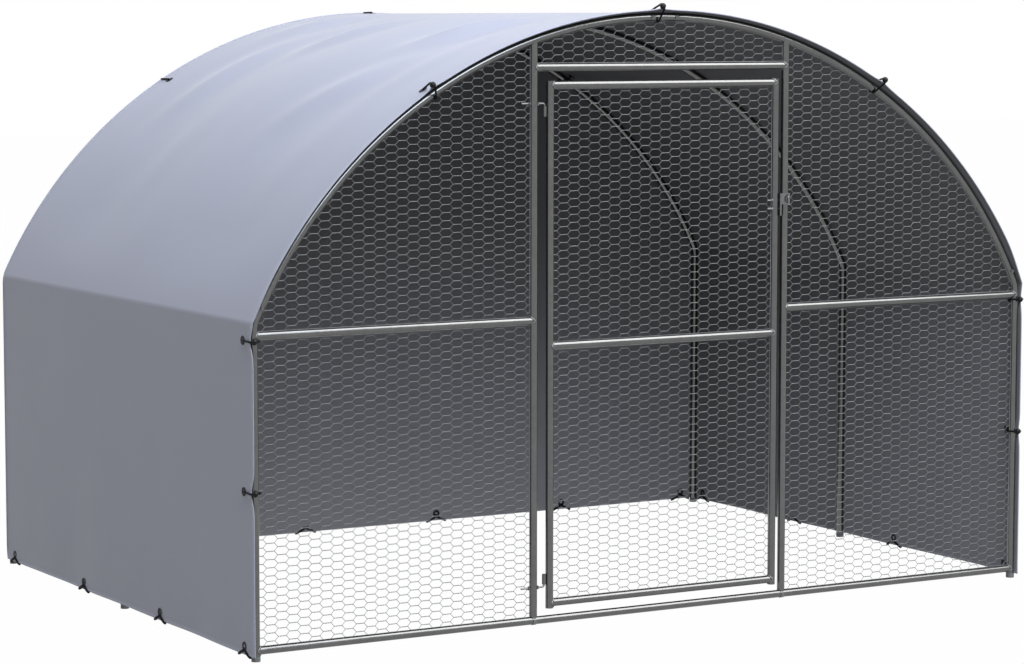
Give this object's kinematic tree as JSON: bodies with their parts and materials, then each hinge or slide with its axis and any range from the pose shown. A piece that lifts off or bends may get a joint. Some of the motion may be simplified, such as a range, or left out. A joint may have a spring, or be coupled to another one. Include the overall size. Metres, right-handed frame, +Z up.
{
  "type": "walk-in chicken run",
  "caption": "Walk-in poultry run with arched tube hoops, a grey tarpaulin over roof, sides and back, and a hexagonal wire-net front with a hinged wire-net door and hasp.",
  "frame": {"origin": "on the ground, under the middle of the run's overall box", "axes": "+X to the viewer's right along the front, +Y from the front to the back wall, +Z up"},
  "size_m": [2.96, 2.0908, 1.984],
  "materials": {
    "galvanised_tube": "dull galvanised",
    "zinc_fitting": "zinc plated",
    "net_wire": "galvanised wire",
    "tarpaulin": "coated, matt grey",
    "elastic_cord": "woven black",
    "eyelet": "matt black",
    "foot_cap": "matt grey"
  },
  "bodies": {
    "frame": {"front_left_leg": "galvanised_tube", "front_right_leg": "galvanised_tube", "middle_left_leg": "galvanised_tube", "middle_right_leg": "galvanised_tube", "rear_left_leg": "galvanised_tube", "rear_right_leg": "galvanised_tube", "front_left_arch": "galvanised_tube", "front_right_arch": "galvanised_tube", "middle_left_arch": "galvanised_tube", "middle_right_arch": "galvanised_tube", "rear_left_arch": "galvanised_tube", "rear_right_arch": "galvanised_tube", "crest_joiners": "galvanised_tube", "eave_joiners": "galvanised_tube", "hoop_screws": "zinc_fitting", "ridge_tube_front": "galvanised_tube", "ridge_tube_rear": "galvanised_tube", "ridge_studs": "galvanised_tube", "foot_caps": "foot_cap", "floor_bar": "galvanised_tube", "left_eave_bar": "galvanised_tube", "right_eave_bar": "galvanised_tube", "left_door_post": "galvanised_tube", "right_door_post": "galvanised_tube", "header_bar": "galvanised_tube", "post_collars": "zinc_fitting", "upper_pintle": "zinc_fitting", "lower_pintle": "zinc_fitting", "pintle_nuts": "zinc_fitting", "hasp_staple": "zinc_fitting", "left_lower_net": "net_wire", "left_upper_net": "net_wire", "right_lower_net": "net_wire", "right_upper_net": "net_wire", "transom_net": "net_wire", "cover_roof": "tarpaulin", "cover_left_wall": "tarpaulin", "cover_right_wall": "tarpaulin", "cover_back_wall": "tarpaulin", "eyelets": "eyelet", "front_ties": "elastic_cord", "rear_ties": "elastic_cord", "hem_ties": "elastic_cord", "tie_balls": "elastic_cord"},
    "door": {"door_hinge_stile": "galvanised_tube", "door_latch_stile": "galvanised_tube", "door_top_bar": "galvanised_tube", "door_middle_bar": "galvanised_tube", "door_bottom_bar": "galvanised_tube", "hinge_sleeves": "zinc_fitting", "hasp_leaf": "zinc_fitting", "hasp_pin": "zinc_fitting", "hasp_bolts": "zinc_fitting", "hasp_nuts": "zinc_fitting", "door_upper_net": "net_wire", "door_lower_net": "net_wire"},
    "hasp": {"hasp_flap": "zinc_fitting"}
  },
  "joints": [
    {"name": "door_swing", "type": "hinge", "parent": "frame", "child": "door", "pos_m": [-0.4378, -0.99766, 0.9], "axis": [0, 0, -1], "range_deg": [0, 110]},
    {"name": "hasp_fold", "type": "hinge", "parent": "door", "child": "hasp", "pos_m": [0.4548, -1.01146, 1.3465], "axis": [0, 0, -1], "range_deg": [0, 165]}
  ]
}
